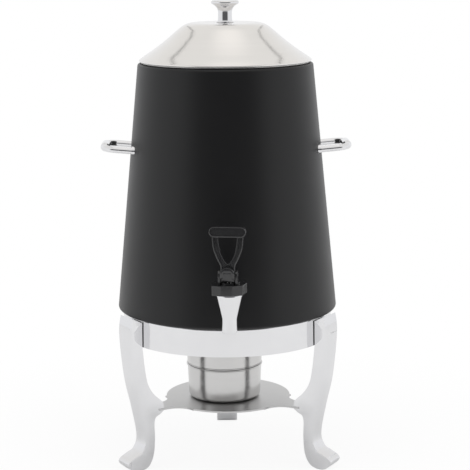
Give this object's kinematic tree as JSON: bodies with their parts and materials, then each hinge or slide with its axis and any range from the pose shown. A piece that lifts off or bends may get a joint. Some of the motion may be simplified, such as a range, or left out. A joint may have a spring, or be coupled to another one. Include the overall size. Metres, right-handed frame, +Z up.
{
  "type": "coffee urn",
  "caption": "Tapered black coffee urn with a steel cone lid and a lever tap, on a chrome cabriole-leg stand with a fuel burner.",
  "frame": {"origin": "the urn's axis at the height of the table top", "axes": "+Z up; the tap points to -Y, towards the user; +X to the user's right"},
  "size_m": [0.3098, 0.3488, 0.5746],
  "materials": {
    "black_paint": "matte black stove enamel on sheet steel",
    "polished_chrome": "polished chrome plate",
    "lid_steel": "spun stainless steel, finely polished",
    "vessel_steel": "satin stainless steel",
    "burner_steel": "brushed stainless steel",
    "fastener_steel": "plain stainless steel",
    "black_plastic": "glossy black moulded plastic",
    "silicone": "black food-grade silicone"
  },
  "bodies": {
    "stand": {"stand_ring": "polished_chrome", "leg_front_left": "polished_chrome", "leg_front_right": "polished_chrome", "leg_rear": "polished_chrome", "leg_screws": "fastener_steel", "fuel_tray": "burner_steel"},
    "cup": {"fuel_cup": "burner_steel"},
    "cover": {"cup_cover": "burner_steel"},
    "urn": {"outer_jacket": "black_paint", "inner_vessel": "vessel_steel", "base_ring": "black_paint", "handle_right": "polished_chrome", "handle_left": "polished_chrome", "handle_rosettes": "polished_chrome", "handle_nuts": "fastener_steel", "tap_body": "polished_chrome", "outer_gasket": "silicone", "spacer_sleeve": "vessel_steel", "inner_gasket": "silicone", "shank_nut": "vessel_steel", "bonnet_nut": "black_plastic", "bonnet": "black_plastic", "pivot_pin": "fastener_steel", "return_spring": "fastener_steel"},
    "lever": {"tap_lever": "black_plastic", "lift_pin": "fastener_steel"},
    "stem": {"tap_stem": "fastener_steel", "seat_cup": "silicone"},
    "lid": {"lid_shell": "lid_steel", "lid_skirt": "lid_steel", "lid_knob": "polished_chrome", "knob_washer": "fastener_steel", "knob_screw": "fastener_steel"}
  },
  "joints": [
    {"name": "urn_lift", "type": "slide", "parent": "stand", "child": "urn", "axis": [0, 0, 1], "range_m": [0, 0.06]},
    {"name": "cup_lift", "type": "slide", "parent": "stand", "child": "cup", "axis": [0, 0, 1], "range_m": [0, 0.025]},
    {"name": "cover_lift", "type": "slide", "parent": "cup", "child": "cover", "axis": [0, 0, 1], "range_m": [0, 0.02]},
    {"name": "lid_lift", "type": "slide", "parent": "urn", "child": "lid", "axis": [0, 0, 1], "range_m": [0, 0.05]},
    {"name": "lever_pull", "type": "hinge", "parent": "urn", "child": "lever", "pos_m": [0, -0.1845, 0.2702], "axis": [1, 0, 0], "range_deg": [0, 35], "stiffness_Nm_per_rad": 0.25, "springref_deg": -20.05},
    {"name": "stem_lift", "type": "slide", "parent": "urn", "child": "stem", "axis": [0, 0, 1], "range_m": [0, 0.00461], "deforming": ["return_spring"]}
  ],
  "couplings": [
    {"joint": "stem_lift", "follows": "lever_pull", "m_per_rad": 0.007512}
  ]
}
